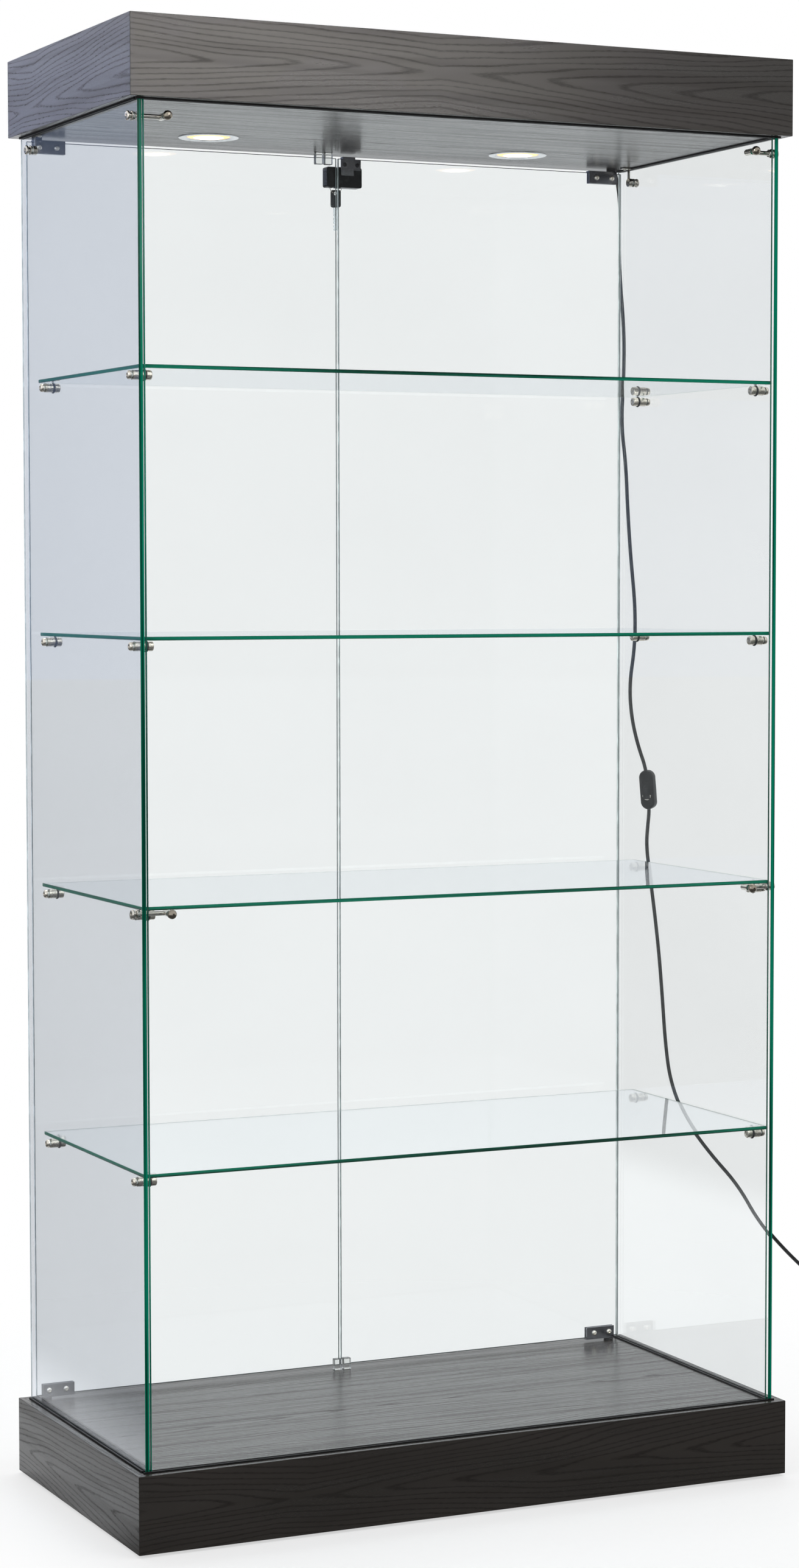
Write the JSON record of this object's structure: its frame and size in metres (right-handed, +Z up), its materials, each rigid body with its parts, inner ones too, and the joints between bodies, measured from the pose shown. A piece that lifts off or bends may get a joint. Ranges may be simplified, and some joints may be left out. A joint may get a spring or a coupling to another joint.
{
  "type": "glass display case",
  "caption": "Floor-standing glass showcase with dark plinth and lit canopy, pinned glass shelves, locking pivot doors at the back and a corded in-line switch.",
  "frame": {"origin": "on the floor under the middle of the case", "axes": "+Z up, the glazed front faces -Y, the doors are at +Y, +X to the right seen from the front"},
  "size_m": [1.514, 0.6186, 2.04],
  "materials": {
    "black_ash_laminate": "satin, printed ash grain",
    "pine_batten": "sawn",
    "black_channel": "matte",
    "float_glass": "polished edges",
    "satin_nickel": "satin",
    "bright_chrome": "polished",
    "black_rubber": "matte",
    "black_plastic": "fine texture",
    "gloss_black_plastic": "moulded",
    "clear_plastic": "clear",
    "lamp_lens": "frosted",
    "silver_trim": "satin",
    "dark_can": "satin",
    "brass_blade": "plain",
    "hardboard": "matte"
  },
  "bodies": {
    "case": {"base_glazing_channels": "black_channel", "canopy_back_board": "black_ash_laminate", "canopy_dust_panel": "hardboard", "canopy_front_board": "black_ash_laminate", "canopy_leads": "black_rubber", "canopy_left_board": "black_ash_laminate", "canopy_right_board": "black_ash_laminate", "ceiling_panel": "black_ash_laminate", "coil_tie": "black_plastic", "cord_coil": "black_rubber", "cord_gland": "black_rubber", "cord_lower": "black_rubber", "cord_upper": "black_rubber", "corner_ball_heads": "bright_chrome", "corner_connector_bars": "bright_chrome", "door_stops": "clear_plastic", "downlight_cans": "dark_can", "downlight_lenses": "lamp_lens", "downlight_trims": "silver_trim", "framing_battens": "pine_batten", "front_glass": "float_glass", "left_glass": "float_glass", "pivot_bushes": "black_plastic", "plinth_back_board": "black_ash_laminate", "plinth_deck": "black_ash_laminate", "plinth_front_board": "black_ash_laminate", "plinth_glides": "black_plastic", "plinth_left_board": "black_ash_laminate", "plinth_right_board": "black_ash_laminate", "plug_blades": "brass_blade", "plug_body": "black_rubber", "rear_hanger_straps": "bright_chrome", "right_glass": "float_glass", "shelf_1": "float_glass", "shelf_2": "float_glass", "shelf_3": "float_glass", "shelf_4": "float_glass", "shelf_pin_barrels": "satin_nickel", "shelf_pin_caps": "satin_nickel", "shelf_pin_o_rings": "black_rubber", "side_glass_heads": "bright_chrome", "switch_back_shell": "gloss_black_plastic", "switch_front_shell": "gloss_black_plastic", "top_glazing_channels": "black_channel", "transformer": "black_plastic"},
    "left_door": {"left_door_glass": "float_glass", "left_hinge_clamps": "satin_nickel", "left_door_screws": "bright_chrome", "lock_keeper": "black_plastic"},
    "right_door": {"right_door_glass": "float_glass", "right_hinge_clamps": "satin_nickel", "right_door_screws": "bright_chrome", "lock_case": "black_plastic", "lock_clamp": "satin_nickel"},
    "key": {"lock_plug": "bright_chrome", "key": "bright_chrome"},
    "bolt": {"lock_bolt": "satin_nickel"},
    "ring": {"key_ring": "bright_chrome", "spare_key": "gloss_black_plastic"},
    "rocker": {"switch_rocker": "gloss_black_plastic"}
  },
  "joints": [
    {"name": "left_door_hinge", "type": "hinge", "parent": "case", "child": "left_door", "pos_m": [-0.461, 0.225, 0], "axis": [0, 0, 1], "range_deg": [0, 90]},
    {"name": "right_door_hinge", "type": "hinge", "parent": "case", "child": "right_door", "pos_m": [0.461, 0.225, 0], "axis": [0, 0, -1], "range_deg": [0, 90]},
    {"name": "key_turn", "type": "hinge", "parent": "right_door", "child": "key", "pos_m": [0.0135, 0.225, 1.898], "axis": [0, 1, 0], "range_deg": [0, 90]},
    {"name": "bolt_slide", "type": "slide", "parent": "right_door", "child": "bolt", "axis": [-1, 0, 0], "range_m": [0, 0.008]},
    {"name": "key_ring_swing", "type": "hinge", "parent": "key", "child": "ring", "pos_m": [0.0135, 0.2616, 1.898], "axis": [1, 0, 0], "range_deg": [-10, 70]},
    {"name": "rocker_tilt", "type": "hinge", "parent": "case", "child": "rocker", "pos_m": [0.55015, 0.25928, 0.97229], "axis": [0.5714, -0.8192, 0.05], "range_deg": [0, 14]}
  ],
  "couplings": [
    {"joint": "bolt_slide", "follows": "key_turn", "m_per_rad": 0.005093}
  ]
}
